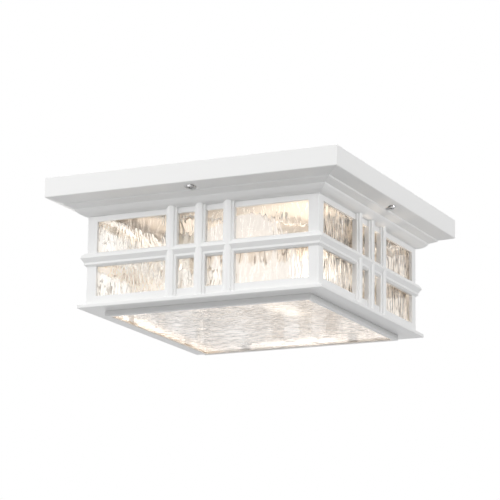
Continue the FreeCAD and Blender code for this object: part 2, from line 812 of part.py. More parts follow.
def clip_screws():
    """Small screws through the clips into the lens frame's shoulder."""
    tip = flange_top_z + slide_gap
    return group([screw(clip_screw_radius, clip_head_radius, clip_head_height, x, y,
                        shoulder_top_z + clip_sheet, tip) for x, y in clip_screw_places()])


def lens():
    """The rippled glass at the bottom."""
    edge = lens_inner_half - glass_edge_gap
    return slab(-edge, edge, -edge, edge, lens_glass_z, lens_glass_z + glass_thickness)


def cover_screw():
    """A screw that holds the cover to the pan, seen under the front ledge."""
    seat = cover_seat_z - seat_gap
    return screw(cover_shank_radius, cover_head_radius, cover_head_height, 0, -cover_screw_place, seat,
                 seat + cover_shank_length)


def build():
    """Makes every piece and writes its node."""
    block = crown_block()
    save(ceiling_pan(), "ceiling_pan")
    save(mounting_strap(), "mounting_strap")
    save(group([rod(stud_radius, x, 0, -pan_depth - stud_reach, -seat_gap) for x in stud_places]),
         "strap_studs")
    save(group([cap_nut(x) for x in stud_places]), "stud_cap_nuts")
    save(ground_screw(), "ground_screw")
    save(ground_lead(), "ground_lead")
    save(wire_bushing(), "wire_bushing")
    save(wire_connectors(), "wire_connectors")
    save(bracket_screws(), "bracket_screws")
    save(holder_screws(), "holder_screws")

    outer_lead, inner_lead = lead(1), lead(-1)
    lamp_pieces = {"lamp_bracket": lamp_bracket(), "lampholder": lampholder(),
                   "screw_shell": screw_shell(), "centre_contact": centre_contact(),
                   "bulb_base": bulb_base(), "bulb_glass": bulb_glass()}
    for name, half_turns in (("a", 0), ("b", 2)):
        for node, piece in lamp_pieces.items():
            save(turned(piece, half_turns), node + "_" + name)
    save(inner_lead, "live_lead_a")
    save(outer_lead, "neutral_lead_a")
    save(turned(outer_lead, 2), "live_lead_b")
    save(turned(inner_lead, 2), "neutral_lead_b")

    save(canopy_cap(block), "canopy_cap")
    frame, pane, screw_piece, angle = side_frame(block), side_pane(), cover_screw(), corner_angle()
    for quarters, side in enumerate(sides):
        save(turned(frame, quarters), "side_frame_" + side)
        save(turned(pane, quarters), "side_glass_" + side)
        save(turned(screw_piece, quarters), "cover_screw_" + side)
        save(turned(angle, quarters), "corner_angle_" + corner_names[quarters])
    save(corner_screws(), "corner_screws")
    save(base_flange(), "base_flange")
    save(lens_frame(), "lens_frame")
    save(lens(), "lens_glass")
    save(lens_clips(), "lens_clips")
    save(clip_screws(), "clip_screws")


build()
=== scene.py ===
import json
import math

import bmesh
import bpy
from mathutils import Matrix, Vector, noise

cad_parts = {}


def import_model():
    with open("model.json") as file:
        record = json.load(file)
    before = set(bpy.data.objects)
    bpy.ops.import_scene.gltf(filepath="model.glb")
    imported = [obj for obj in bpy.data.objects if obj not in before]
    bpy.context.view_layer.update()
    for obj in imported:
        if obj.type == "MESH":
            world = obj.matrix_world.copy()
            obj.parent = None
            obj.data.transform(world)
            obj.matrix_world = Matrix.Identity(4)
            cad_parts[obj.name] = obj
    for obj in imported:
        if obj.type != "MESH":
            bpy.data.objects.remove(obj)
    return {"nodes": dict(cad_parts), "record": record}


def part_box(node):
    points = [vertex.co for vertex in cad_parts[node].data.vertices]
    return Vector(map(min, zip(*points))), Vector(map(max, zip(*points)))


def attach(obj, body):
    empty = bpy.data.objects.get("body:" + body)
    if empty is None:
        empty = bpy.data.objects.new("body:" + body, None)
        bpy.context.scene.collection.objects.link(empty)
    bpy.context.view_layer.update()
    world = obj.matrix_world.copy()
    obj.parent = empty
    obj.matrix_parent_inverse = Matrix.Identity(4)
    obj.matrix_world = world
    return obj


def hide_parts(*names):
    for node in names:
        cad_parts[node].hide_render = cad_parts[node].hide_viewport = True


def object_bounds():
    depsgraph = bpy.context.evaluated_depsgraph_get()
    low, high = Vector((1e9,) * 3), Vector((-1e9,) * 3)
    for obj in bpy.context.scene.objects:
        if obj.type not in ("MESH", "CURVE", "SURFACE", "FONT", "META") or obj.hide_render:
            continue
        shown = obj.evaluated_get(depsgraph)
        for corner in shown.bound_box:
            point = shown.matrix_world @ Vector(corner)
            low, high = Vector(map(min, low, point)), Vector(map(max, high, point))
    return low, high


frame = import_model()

# Outdoor ceiling light: white paint, rippled glass and two lit bulbs, in metres. The light hangs
# from the ceiling plane at z = 0, and its front is the -Y side.

cad_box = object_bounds()
MM = 0.001

# Camera, as solved from the photograph: it looks up at the light from the front right
half_width = (cad_box[1].x - cad_box[0].x) / 2
camera_azimuth = math.radians(25.53)
camera_elevation = math.radians(-13.35)
camera_roll = math.radians(0.754)
camera_distance = 14.989 * half_width
camera_aim_right = -0.0369 * half_width
camera_aim_up = -0.3376 * half_width
camera_clip = (0.05, 100)
picture_width = 500
focal_pixels = 2318.6
sensor_width = 36.0

# Studio: a pale floor well below the light and a plain white world
floor_drop = 2.4
floor_size = 40.0
floor_colour = (0.56, 0.56, 0.56, 1)
floor_roughness = 0.9
floor_glow = 0.70
world_light = 0.385
white = (1, 1, 1, 1)

# Soft square lamps that face the light: azimuth and elevation in degrees, distance, size, power
lamps = (
    ("key_left", -65, 5, 6.0, 1.6, 43),
    ("key_middle", -40, 15, 6.0, 1.6, 31),
    ("key_front", 10, 25, 6.0, 2.0, 93),
    ("key_level", -25, 5, 6.0, 1.6, 9),
    ("key_high", -20, 45, 5.0, 1.6, 32),
    ("key_top", 15, 65, 4.0, 1.6, 28),
    ("fill_high", 62, 50, 3.0, 1.8, 3),
    ("fill_side", 85, 10, 3.0, 1.2, 32),
    ("fill_low", -90, -35, 2.2, 1.0, 5.2),
)

# Warm discs inside the cover: place and size in millimetres, aim, power
inside_lamps = (
    ("inside_left", (-65, -35, -100), 40, (-1, -0.15, 0.3), 0.08),
    ("inside_back", (20, 50, -102), 50, (0, 1, 0.9), 0.09),
    ("inside_right", (95, -10, -102), 40, (-0.6, 0.3, 0.8), 0.10),
)

# Finishes: how fine their drift in shade and gloss is, and their relief's strength and depth
crisp_ends = (0.35, 0.65)
soft_ends = (0.2, 0.8)
gloss_detail = 3
relief_detail = 2
paint_shade_scale = 7
paint_gloss_scale = 5
paint_ior = 1.48
metal_shade_detail = 5
metal_gloss_ratio = 2
metal_relief_ratio = 6
metal_relief = (0.08, 0.03 * MM)
moulded_shade_scale = 140
moulded_shade_detail = 4
moulded_gloss_scale = 200
moulded_relief_scale = 1800
moulded_relief = (0.12, 0.04 * MM)

# White paint, and the painted bulb light that glows on the frame's inner faces, which only two
# panes show
white_finish = ((0.872, 0.873, 0.868, 1), (0.880, 0.880, 0.876, 1), 0.27, 0.31)
painted_inner_light = (0.24, 0.23, 0.215, 1)
painted_inner_light_ends = (0.8, 0.95)

# Glass: the light it lets through to other things, and its tints where it is clear, and the painted
# shade in them:
# a smoky tone, and thin dark lines round its drops
glass_ior = 1.46
glass_shade = (0.90, 0.87, 0.83, 1)
pane_roughness = 0.02
lens_roughness = 0.05
clear_tint = (0.992, 0.972, 0.945, 1)
painted_dark_line = (0.14, 0.10, 0.07, 1)
front_tints = (clear_tint, (0.84, 0.76, 0.67, 1), painted_dark_line)
right_tints = (clear_tint, (0.99, 0.95, 0.90, 1), painted_dark_line)
back_tints = (clear_tint, (0.98, 0.95, 0.91, 1), (0.60, 0.53, 0.46, 1))
left_tints = ((0.998, 0.990, 0.978, 1), (0.985, 0.97, 0.945, 1), (0.52, 0.47, 0.42, 1))
lens_tints = ((0.985, 0.958, 0.942, 1), (0.965, 0.935, 0.915, 1), (0.62, 0.56, 0.52, 1))
shade_line_at = 0.60
shade_line_width = 0.06

# Drops of the glass's pattern, round which the painted dark lines run, each with its width and
# length
front_drop = (4.4 * MM, 24 * MM)
right_drop = (6.5 * MM, 45 * MM)
back_drop = (4.4 * MM, 24 * MM)
left_drop = (5.5 * MM, 22 * MM)
lens_drop = (4.4 * MM, 24 * MM)

# Patches of painted shade lines: their fineness, and the noise's levels at their edges
lens_patch_scale = 24
lens_patch_ends = (0.40, 0.48)
left_patch_scale = 40
left_patch_ends = (0.34, 0.42)

# Painted shade that hangs down the front and right panes as drips: its share of the glass by
# height, as (height, share) from the panes' bottom to their top, and how it thins out toward the
# left
pane_bottom = -121.6 * MM
pane_top = -35.3 * MM
shade_drip_size = (8.0 * MM, 40.0 * MM)
shade_drip_left = -62.0 * MM
shade_drip_right = -8.0 * MM
shade_drip_thinning = 0.34
shade_drip_edge = (0.92, 1.00)
front_shade_hang = ((0, 0), (0.22, 0.20), (0.34, 0.46), (0.46, 0.58), (0.50, 0.10), (0.80, 0.12),
              (1, 0.24))
right_shade_hang = ((0, 0.30), (0.18, 0.52), (0.46, 0.80), (0.50, 0.45), (0.70, 0.62), (1, 0.80))

# Painted light that the lens emits, though it is no lamp: a band along its left edge, a rise toward
# its right and a bright patch
lens_edge = 104.7 * MM
lens_band = 24.0 * MM
painted_band_light = (0.05, 0.028, 0.008, 1)
lens_rise = (-30.0 * MM, 80.0 * MM)
painted_rise_light = (0.012, 0.006, 0.0, 1)
painted_patch_place = (61.0 * MM, -60.0 * MM)
painted_patch_size = (24.0 * MM, 66.0 * MM)
painted_patch_light = (0.15, 0.137, 0.118, 1)

# Ripples: their depth, their streaks' width and length, and the mesh's steps
glass_seat = Vector((0.12, 0.12, 0.12)) * MM
pane_ripple_depth = 0.62 * MM
lens_ripple_depth = 0.25 * MM
pane_streak = (2.7 * MM, 16.0 * MM)
lens_streak = (3.4 * MM, 6.4 * MM)
ripple_step_across = 0.42 * MM
ripple_step_along = 1.7 * MM
fewest_steps = 8
pane_seed = 3.1
pane_seed_step = 5.7
lens_seed = 41.9

# The ripples' waves: each one's fineness across and along, its seed and its share of the depth
ripple_level = 0.28
streak_drift = 1.6
coarse_wave = (0.62, 0.8, 7.3, 0.45)
fold_wave = (0.9, 1, 13.1, 0.38)
fine_wave = (1.8, 1.9, 21.7, 0.16)

# Corner angles: the solid's upright legs, and how much of them is kept
angle_leg = 5.0 * MM
angle_leg_seen = 2.2 * MM
angle_tolerance = 0.05 * MM

# Bulbs' light
bulb_light = 0.92
bulb_surface = (0.006, 0.005, 0.004, 1)
bulb_colours = ((0.96, 0.89, 0.82, 1), (1.0, 0.955, 0.90, 1))
bulb_cloud_scale = 18
bulb_gloss_scale = 300
bulb_gloss = (0.30, 0.42)
glow_power = 0.31
glow_drop = 0.10
glow_reach = 1.03
glow_colour = (1.0, 0.90, 0.80)

# Bulbs' shape: the glass's neck as a share of the base's radius, and the turned steps
lathe_steps = 64
point_radius = 1e-7
neck_share = 0.95
neck_start_share = 0.4
swell_steps = 18
crown_angles = range(6, 90, 6)

# Bulbs' base: its contact as (along, radius), its shoulder, wall and thread
contact_profile = ((0, 0), (0, 2.0 * MM), (0.6 * MM, 3.6 * MM), (1.5 * MM, 4.4 * MM),
                   (2.2 * MM, 4.5 * MM))
shoulder_drop = 0.6 * MM
shell_wall = 0.9 * MM
shell_start_share = 0.2
shell_floor_ratio = 1.6
thread_pitch = 3.6 * MM
thread_depth = 0.55 * MM
thread_steps = 70
thread_run_in = 2 * MM
thread_run_out = 2.5 * MM

# Edges sharper than these, in degrees, stay crisp under smooth shading
glass_crisp = 40
shell_crisp = 50

slot_of = {part["node"]: part["material_slot"] for part in frame["record"]["subparts"]}
body_of = {node: body for body, nodes in frame["record"]["behaviour"]["bodies"].items()
           for node in nodes}


# Shading nodes

def grey(level):
    """A grey, as a colour."""
    return (level, level, level, 1)


def adder(tree):
    """A function that adds a node to a tree and sets its sockets."""
    def add(kind, **sockets):
        node = tree.nodes.new(kind)
        for socket, value in sockets.items():
            node.inputs[socket.replace("_", " ")].default_value = value
        return node

    return add


def opened(made):
    """A material's node tree, its shader, and the function that adds nodes to it."""
    tree = made.node_tree
    return tree, tree.nodes["Principled BSDF"], adder(tree)


def material(name):
    """A new material, with what opened gives for it."""
    made = bpy.data.materials.new(name)
    made.use_nodes = True
    return (made,) + opened(made)


def ramped(add, ends, low, high):
    """A ramp between two colours that stand at its two ends."""
    ramp = add("ShaderNodeValToRGB")
    for stop, at, colour in zip(ramp.color_ramp.elements, ends, (low, high)):
        stop.position, stop.color = at, colour
    return ramp


def spotted(tree, add, scale, detail, low, high, ends=crisp_ends):
    """A noise over the object's own coordinates, as a ramp between two colours."""
    place = add("ShaderNodeTexCoord")
    cloud = add("ShaderNodeTexNoise", Scale=scale, Detail=detail)
    ramp = ramped(add, ends, low, high)
    tree.links.new(place.outputs["Object"], cloud.inputs["Vector"])
    tree.links.new(cloud.outputs["Fac"], ramp.inputs["Fac"])
    return ramp.outputs["Color"]


def bumped(tree, shader, add, scale, relief):
    """Fine relief from a noise, with a strength and a depth."""
    place = add("ShaderNodeTexCoord")
    cloud = add("ShaderNodeTexNoise", Scale=scale, Detail=relief_detail)
    bump = add("ShaderNodeBump", Strength=relief[0], Distance=relief[1])
    tree.links.new(place.outputs["Object"], cloud.inputs["Vector"])
    tree.links.new(cloud.outputs["Fac"], bump.inputs["Height"])
    tree.links.new(bump.outputs["Normal"], shader.inputs["Normal"])


def blended(tree, factor, under, over, blend_type="MIX"):
    """A colour laid over another by a factor. Each of the two is a plain colour or a socket."""
    mix = tree.nodes.new("ShaderNodeMix")
    mix.data_type = "RGBA"
    mix.blend_type = blend_type
    tree.links.new(factor, mix.inputs["Factor"])
    colours = [socket for socket in mix.inputs if socket.type == "RGBA"]
    for socket, colour in zip(colours, (under, over)):
        if isinstance(colour, tuple):
            socket.default_value = colour
        else:
            tree.links.new(colour, socket)
    return [socket for socket in mix.outputs if socket.type == "RGBA"][0]


def chosen(tree, factor, first, second):
    """The first shader where the factor is 0, and the second where it is 1."""
    mix = tree.nodes.new("ShaderNodeMixShader")
    tree.links.new(factor, mix.inputs["Fac"])
    tree.links.new(first, mix.inputs[1])
    tree.links.new(second, mix.inputs[2])
    return mix.outputs["Shader"]


# Materials

def paint(name, low, high, gloss_low, gloss_high):
    """Sprayed satin paint: a slow, faint drift in shade and gloss."""
    made, tree, shader, add = material(name)
    shade = spotted(tree, add, paint_shade_scale, 0, low, high, soft_ends)
    gloss = spotted(tree, add, paint_gloss_scale, 0, grey(gloss_low), grey(gloss_high), soft_ends)
    tree.links.new(shade, shader.inputs["Base Color"])
    tree.links.new(gloss, shader.inputs["Roughness"])
    shader.inputs["IOR"].default_value = paint_ior
    return made


def metal(name, low, high, gloss_low, gloss_high, scale):
    """Plated or brushed metal."""
    made, tree, shader, add = material(name)
    shade = spotted(tree, add, scale, metal_shade_detail, low, high)
    gloss = spotted(tree, add, scale * metal_gloss_ratio, gloss_detail,
                    grey(gloss_low), grey(gloss_high))
    tree.links.new(shade, shader.inputs["Base Color"])
    tree.links.new(gloss, shader.inputs["Roughness"])
    bumped(tree, shader, add, scale * metal_relief_ratio, metal_relief)
    shader.inputs["Metallic"].default_value = 1
    return made


def moulded(name, low, high, gloss_low, gloss_high):
    """Moulded plastic, insulation or porcelain."""
    made, tree, shader, add = material(name)
    shade = spotted(tree, add, moulded_shade_scale, moulded_shade_detail, low, high)
    gloss = spotted(tree, add, moulded_gloss_scale, gloss_detail, grey(gloss_low), grey(gloss_high))
    tree.links.new(shade, shader.inputs["Base Color"])
    tree.links.new(gloss, shader.inputs["Roughness"])
    bumped(tree, shader, add, moulded_relief_scale, moulded_relief)
    return made


def lit_glass(name):
    """The bulbs' frosted glass, lit from inside, so that its own light outshines its surface."""
    made, tree, shader, add = material(name)
    light = spotted(tree, add, bulb_cloud_scale, 1, *bulb_colours, soft_ends)
    gloss = spotted(tree, add, bulb_gloss_scale, gloss_detail, grey(bulb_gloss[0]),
                    grey(bulb_gloss[1]))
    tree.links.new(light, shader.inputs["Emission Color"])
    tree.links.new(gloss, shader.inputs["Roughness"])
    shader.inputs["Base Color"].default_value = bulb_surface
    shader.inputs["Specular IOR Level"].default_value = 0
    shader.inputs["Emission Strength"].default_value = bulb_light
    return made


def upright(drop):
    """How many drops a metre holds along each axis, where they hang down a pane."""
    return (1 / drop[0], 1 / drop[0], 1 / drop[1])


def lying(drop):
    """The same, where they lie along the lens's X."""
    return (1 / drop[1], 1 / drop[0], 1 / drop[0])


def hanging_shade(tree, add, hang):
    """A mask of painted shade: patches that hang down the glass as drips, with the hang's shares by
    height.
    """
    place = add("ShaderNodeTexCoord")
    parts = add("ShaderNodeSeparateXYZ")
    height = add("ShaderNodeMapRange", From_Min=pane_bottom, From_Max=pane_top)
    shares = ramped(add, (0, 1), grey(hang[0][1]), grey(hang[-1][1]))
    for at, share in hang[1:-1]:
        shares.color_ramp.elements.new(at).color = grey(share)
    drawn = add("ShaderNodeMapping", Scale=upright(shade_drip_size))
    cloud = add("ShaderNodeTexNoise", Scale=1, Detail=1)
    joined = add("ShaderNodeMath")
    fewer = add("ShaderNodeMapRange", From_Min=shade_drip_left, From_Max=shade_drip_right,
                To_Min=shade_drip_thinning, To_Max=0)
    thinned = add("ShaderNodeMath")
    thinned.operation = "SUBTRACT"
    edge = add("ShaderNodeMapRange", From_Min=shade_drip_edge[0], From_Max=shade_drip_edge[1])
    tree.links.new(place.outputs["Object"], parts.inputs["Vector"])
    tree.links.new(parts.outputs["Z"], height.inputs["Value"])
    tree.links.new(height.outputs["Result"], shares.inputs["Fac"])
    tree.links.new(place.outputs["Object"], drawn.inputs["Vector"])
    tree.links.new(drawn.outputs["Vector"], cloud.inputs["Vector"])
    tree.links.new(cloud.outputs["Fac"], joined.inputs[0])
    tree.links.new(shares.outputs["Color"], joined.inputs[1])
    tree.links.new(parts.outputs["X"], fewer.inputs["Value"])
    tree.links.new(joined.outputs["Value"], thinned.inputs[0])
    tree.links.new(fewer.outputs["Result"], thinned.inputs[1])
    tree.links.new(thinned.outputs["Value"], edge.inputs["Value"])
    return edge.outputs["Result"]


def front_shade_mask(tree, add):
    """The front pane's drips of painted shade."""
    return hanging_shade(tree, add, front_shade_hang)


def right_shade_mask(tree, add):
    """The right pane's drips of painted shade."""
    return hanging_shade(tree, add, right_shade_hang)


def lens_shade_mask(tree, add):
    """The patches of painted shade, faint lines, on the lens and the back pane."""
    return spotted(tree, add, lens_patch_scale, 0, grey(0), grey(1), lens_patch_ends)


def left_shade_mask(tree, add):
    """The patches of painted shade, dark lines, on the left pane, which fill most of it."""
    return spotted(tree, add, left_patch_scale, 0, grey(0), grey(1), left_patch_ends)


def tint_with_painted_shade(tree, add, stretch, tints, mask):
    """The glass's tint: clear, and painted shade where the mask is, a smoky tone with thin dark
    lines round the drawn-out drops of its pattern. The stretch is the number of drops to a metre on
    each axis."""
    clear, shade_tone, shade_line_colour = tints
    place = add("ShaderNodeTexCoord")
    drawn = add("ShaderNodeMapping", Scale=stretch)
    drops = add("ShaderNodeTexNoise", Scale=1, Detail=0)
    lines = ramped(add, (shade_line_at - shade_line_width, shade_line_at + shade_line_width), shade_tone, shade_tone)
    lines.color_ramp.elements.new(shade_line_at).color = shade_line_colour
    tree.links.new(place.outputs["Object"], drawn.inputs["Vector"])
    tree.links.new(drawn.outputs["Vector"], drops.inputs["Vector"])
    tree.links.new(drops.outputs["Fac"], lines.inputs["Fac"])
    return blended(tree, mask(tree, add), clear, lines.outputs["Color"])


def clear_glass(name, stretch, tints, mask, roughness=pane_roughness):
    """Clear glass with a faint warm tint and painted shade in its tint, that lets the lamps' light
    through.
    """
    made, tree, shader, add = material(name)
    tree.links.new(tint_with_painted_shade(tree, add, stretch, tints, mask), shader.inputs["Base Color"])
    shader.inputs["Roughness"].default_value = roughness
    shader.inputs["Transmission Weight"].default_value = 1
    shader.inputs["IOR"].default_value = glass_ior
    path = add("ShaderNodeLightPath")
    through = add("ShaderNodeBsdfTransparent", Color=glass_shade)
    surface = chosen(tree, path.outputs["Is Shadow Ray"], shader.outputs["BSDF"],
                     through.outputs["BSDF"])
    tree.links.new(surface, tree.nodes["Material Output"].inputs["Surface"])
    return made


def seen_through(made):
    """Glass that no longer bends light that another pane let through, so that the frame behind
    it still takes the lamps' light."""
    tree, shader, add = opened(made)
    old_use = shader.outputs["BSDF"].links[0].to_socket
    tint = shader.inputs["Base Color"].links[0].from_socket
    path = add("ShaderNodeLightPath")
    through = add("ShaderNodeBsdfTransparent")
    tree.links.new(tint, through.inputs["Color"])
    surface = chosen(tree, path.outputs["Is Transmission Ray"], shader.outputs["BSDF"],
                     through.outputs["BSDF"])
    tree.links.new(surface, old_use)
    return made


def painted_lens_light(made):
    """Painted light that the lens emits, though it is no lamp: a bright patch where it would throw
    a bulb's light, a soft rise toward its right, and a tan glow along its left edge, where the
    glass would show the lit frame."""
    tree, shader, add = opened(made)
    place = add("ShaderNodeTexCoord")
    parts = add("ShaderNodeSeparateXYZ")
    rise = add("ShaderNodeMapRange", From_Min=lens_rise[0], From_Max=lens_rise[1])
    band = add("ShaderNodeMapRange", From_Min=lens_band - lens_edge,
               From_Max=lens_band / 2 - lens_edge)
    drawn = add("ShaderNodeMapping", Scale=(1 / painted_patch_size[0], 1 / painted_patch_size[1], 0),
                Location=(-painted_patch_place[0] / painted_patch_size[0], -painted_patch_place[1] / painted_patch_size[1], 0))
    ball = add("ShaderNodeTexGradient")
    ball.gradient_type = "SPHERICAL"
    patch = ramped(add, (0, 1), grey(0), grey(1))
    patch.color_ramp.interpolation = "EASE"
    tree.links.new(place.outputs["Object"], parts.inputs["Vector"])
    tree.links.new(parts.outputs["X"], rise.inputs["Value"])
    tree.links.new(parts.outputs["X"], band.inputs["Value"])
    tree.links.new(place.outputs["Object"], drawn.inputs["Vector"])
    tree.links.new(drawn.outputs["Vector"], ball.inputs["Vector"])
    tree.links.new(ball.outputs["Fac"], patch.inputs["Fac"])
    light = grey(0)
    for factor, colour in ((patch.outputs["Color"], painted_patch_light),
                           (rise.outputs["Result"], painted_rise_light),
                           (band.outputs["Result"], painted_band_light)):
        light = blended(tree, factor, light, colour, "ADD")
    tree.links.new(light, shader.inputs["Emission Color"])
    shader.inputs["Emission Strength"].default_value = 1
    return made


def painted_bulb_light(made, inward, colour):
    """Paint whose faces toward the bulbs glow a little: painted bulb light, for the bulbs' light
    that the renderer drops behind two panes."""
    tree, shader, add = opened(made)
    place = add("ShaderNodeTexCoord")
    facing = add("ShaderNodeVectorMath")
    facing.operation = "DOT_PRODUCT"
    facing.inputs[1].default_value = inward
    light = ramped(add, painted_inner_light_ends, grey(0), colour)
    tree.links.new(place.outputs["Normal"], facing.inputs[0])
    tree.links.new(facing.outputs["Value"], light.inputs["Fac"])
    tree.links.new(light.outputs["Color"], shader.inputs["Emission Color"])
    shader.inputs["Emission Strength"].default_value = 1
    return made


materials = {
    "white_paint": paint("white_paint", *white_finish),
    # The pan's paint is a darker cream than the white: painted warm light and shade, for the bulbs'
    # dim warm light inside the cover
    "pan_paint": paint("pan_paint", (0.67, 0.615, 0.545, 1), (0.71, 0.655, 0.585, 1), 0.34, 0.46),
    # The front panes' glass, with painted shade in its tint
    "rippled_glass": clear_glass("rippled_glass", upright(front_drop), front_tints, front_shade_mask),
    "bright_screw": metal("bright_screw", grey(0.36), grey(0.50), 0.16, 0.28, 300),
    "zinc_steel": metal("zinc_steel", (0.52, 0.53, 0.54, 1), (0.68, 0.68, 0.67, 1),
                        0.30, 0.48, 120),
    "ground_green": paint("ground_green", (0.015, 0.16, 0.05, 1), (0.03, 0.22, 0.07, 1), 0.3, 0.5),
    "bare_copper": metal("bare_copper", (0.55, 0.22, 0.10, 1), (0.75, 0.36, 0.19, 1),
                         0.25, 0.45, 200),
    "bushing_plastic": moulded("bushing_plastic", grey(0.018), grey(0.035), 0.45, 0.6),
    "connector_plastic": moulded("connector_plastic", (0.70, 0.16, 0.02, 1),
                                 (0.80, 0.22, 0.03, 1), 0.4, 0.55),
    "porcelain": moulded("porcelain", (0.80, 0.78, 0.72, 1), (0.86, 0.84, 0.79, 1), 0.12, 0.22),
    "shell_metal": metal("shell_metal", grey(0.86), grey(0.93), 0.42, 0.56, 150),
    "contact_brass": metal("contact_brass", (0.60, 0.40, 0.12, 1), (0.75, 0.52, 0.18, 1),
                           0.2, 0.35, 200),
    "bulb_metal": metal("bulb_metal", grey(0.86), grey(0.93), 0.40, 0.54, 150),
    "lit_bulb": lit_glass("lit_bulb"),
    "live_insulation": moulded("live_insulation", (0.50, 0.43, 0.34, 1), (0.60, 0.52, 0.42, 1),
                               0.35, 0.5),
    "neutral_insulation": moulded("neutral_insulation", grey(0.72), grey(0.80), 0.35, 0.5),
}
# The other panes' glass, with painted shade in their tints
other_glass = {
    "right": clear_glass("side_glass", upright(right_drop), right_tints, right_shade_mask),
    "back": seen_through(clear_glass("back_glass", upright(back_drop), back_tints, lens_shade_mask)),
    "left": seen_through(clear_glass("left_glass", upright(left_drop), left_tints, left_shade_mask)),
}
# The lens's glass, with painted shade lines in its tint and painted light of its own
lens_glass = painted_lens_light(clear_glass("lens_glass", lying(lens_drop), lens_tints, lens_shade_mask,
                                lens_roughness))
# The left frame's paint, with painted bulb light glowing on its inner faces
left_frame_painted_light = painted_bulb_light(paint("left_frame_painted_light", *white_finish), (1, 0, 0), painted_inner_light)


# Pieces

def dress(obj, slot):
    """Gives an object one material."""
    obj.data.materials.clear()
    obj.data.materials.append(materials[slot])


def finish_piece(obj, node):
    """A piece that stands for a CAD node: it rides on the node's body, in the node's finish."""
    dress(obj, slot_of[node])
    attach(obj, body_of[node])
    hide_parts(node)


def added(name, data):
    """A new object in the scene."""
    obj = bpy.data.objects.new(name, data)
    bpy.context.scene.collection.objects.link(obj)
    return obj


def mesh_object(name, vertices, faces, smooth=True):
    """A mesh object from its vertices and faces."""
    mesh = bpy.data.meshes.new(name)
    mesh.from_pydata([tuple(vertex) for vertex in vertices], [], faces)
    mesh.validate()
    work = bmesh.new()
    work.from_mesh(mesh)
    bmesh.ops.recalc_face_normals(work, faces=work.faces)
    work.to_mesh(mesh)
    work.free()
    for polygon in mesh.polygons:
        polygon.use_smooth = smooth
    return added(name, mesh)


def crisped(obj, angle):
    """Keeps edges sharper than an angle in degrees crisp under smooth shading."""
    obj.data.set_sharp_from_angle(angle=math.radians(angle))


# Rippled glass

def wave(u, v, seed, kind):
    """One of the ripples' noises, at a point measured in streaks."""
    return noise.noise(Vector((u * kind[0], v * kind[1], seed + kind[2])))


def ripple(across, along, streak, seed):
    """How deep the glass's streaks are at a point, from 0 to 1. A streak is a width and length."""
    drift = noise.noise(Vector((across / streak[1], along / streak[1], seed)))
    u = across / streak[0] + drift * streak_drift
    v = along / streak[1]
    coarse = wave(u, v, seed, coarse_wave)
    fold = 1 - 2 * abs(wave(u, v, seed, fold_wave))
    fine = wave(u, v, seed, fine_wave)
    level = ripple_level + coarse_wave[3] * coarse + fold_wave[3] * fold + fine_wave[3] * fine
    return min(1, max(0, level))


def rippled_plate(name, node, across_axis, along_axis, streak, depth, seed):
    """A pane in a CAD pane's box, with streaks along one of its edges and a smooth back. The
    rippled side is the outer one, and the lens's is its lower one."""
    low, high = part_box(node)
    low, high = low + glass_seat, high - glass_seat
    centre = (low + high) / 2
    thin_axis = ({0, 1, 2} - {across_axis, along_axis}).pop()
    outward = 1 if thin_axis != 2 and centre[thin_axis] > 0 else -1
    outer = high[thin_axis] if outward > 0 else low[thin_axis]
    inner = low[thin_axis] if outward > 0 else high[thin_axis]
    width = high[across_axis] - low[across_axis]
    length = high[along_axis] - low[along_axis]
    columns = max(fewest_steps, round(width / ripple_step_across))
    rows = max(fewest_steps, round(length / ripple_step_along))
    vertices = []
    for side in (outer, inner):
        for row in range(rows + 1):
            for column in range(columns + 1):
                point = [0, 0, 0]
                point[across_axis] = low[across_axis] + width * column / columns
                point[along_axis] = low[along_axis] + length * row / rows
                point[thin_axis] = side
                rim = row in (0, rows) or column in (0, columns)
                if side == outer and not rim:
                    level = ripple(point[across_axis], point[along_axis], streak, seed)
                    point[thin_axis] -= outward * depth * level
                vertices.append(point)
    per_row = columns + 1
    per_side = (rows + 1) * per_row
    faces = []
    for side in (0, 1):
        for row in range(rows):
            for column in range(columns):
                a = side * per_side + row * per_row + column
                faces.append((a, a + 1, a + per_row + 1, a + per_row))
    edge = list(range(per_row))
    edge += [row * per_row + columns for row in range(1, rows + 1)]
    edge += [rows * per_row + column for column in range(columns - 1, -1, -1)]
    edge += [row * per_row for row in range(rows - 1, 0, -1)]
    for a, b in zip(edge, edge[1:] + edge[:1]):
        faces.append((a, b, b + per_side, a + per_side))
    pane = mesh_object(name, vertices, faces)
    crisped(pane, glass_crisp)
    finish_piece(pane, node)
    return pane


# Turned pieces

def lathe(name, profile, origin, axis, twist=None):
    """A turned solid from (along, radius) pairs about a unit axis. A twist adds to the radius
    by place and angle, as a thread does. Ends at zero radius close to a point."""
    side = axis.orthogonal().normalized()
    across = axis.cross(side)
    vertices, rings = [], []
    for along, radius in profile:
        ring = []
        count = 1 if radius < point_radius else lathe_steps
        for step in range(count):
            angle = 2 * math.pi * step / lathe_steps
            reach = radius + (twist(along, angle) if twist and count > 1 else 0)
            ring.append(len(vertices))
            vertices.append(origin + axis * along
                            + (side * math.cos(angle) + across * math.sin(angle)) * reach)
        rings.append(ring)
    faces = []
    for one, two in zip(rings, rings[1:]):
        for step in range(lathe_steps):
            following = (step + 1) % lathe_steps
            corners = [one[step % len(one)], one[following % len(one)],
                       two[following % len(two)], two[step % len(two)]]
            corners = list(dict.fromkeys(corners))
            if len(corners) > 2:
                faces.append(corners)
    return mesh_object(name, vertices, faces)


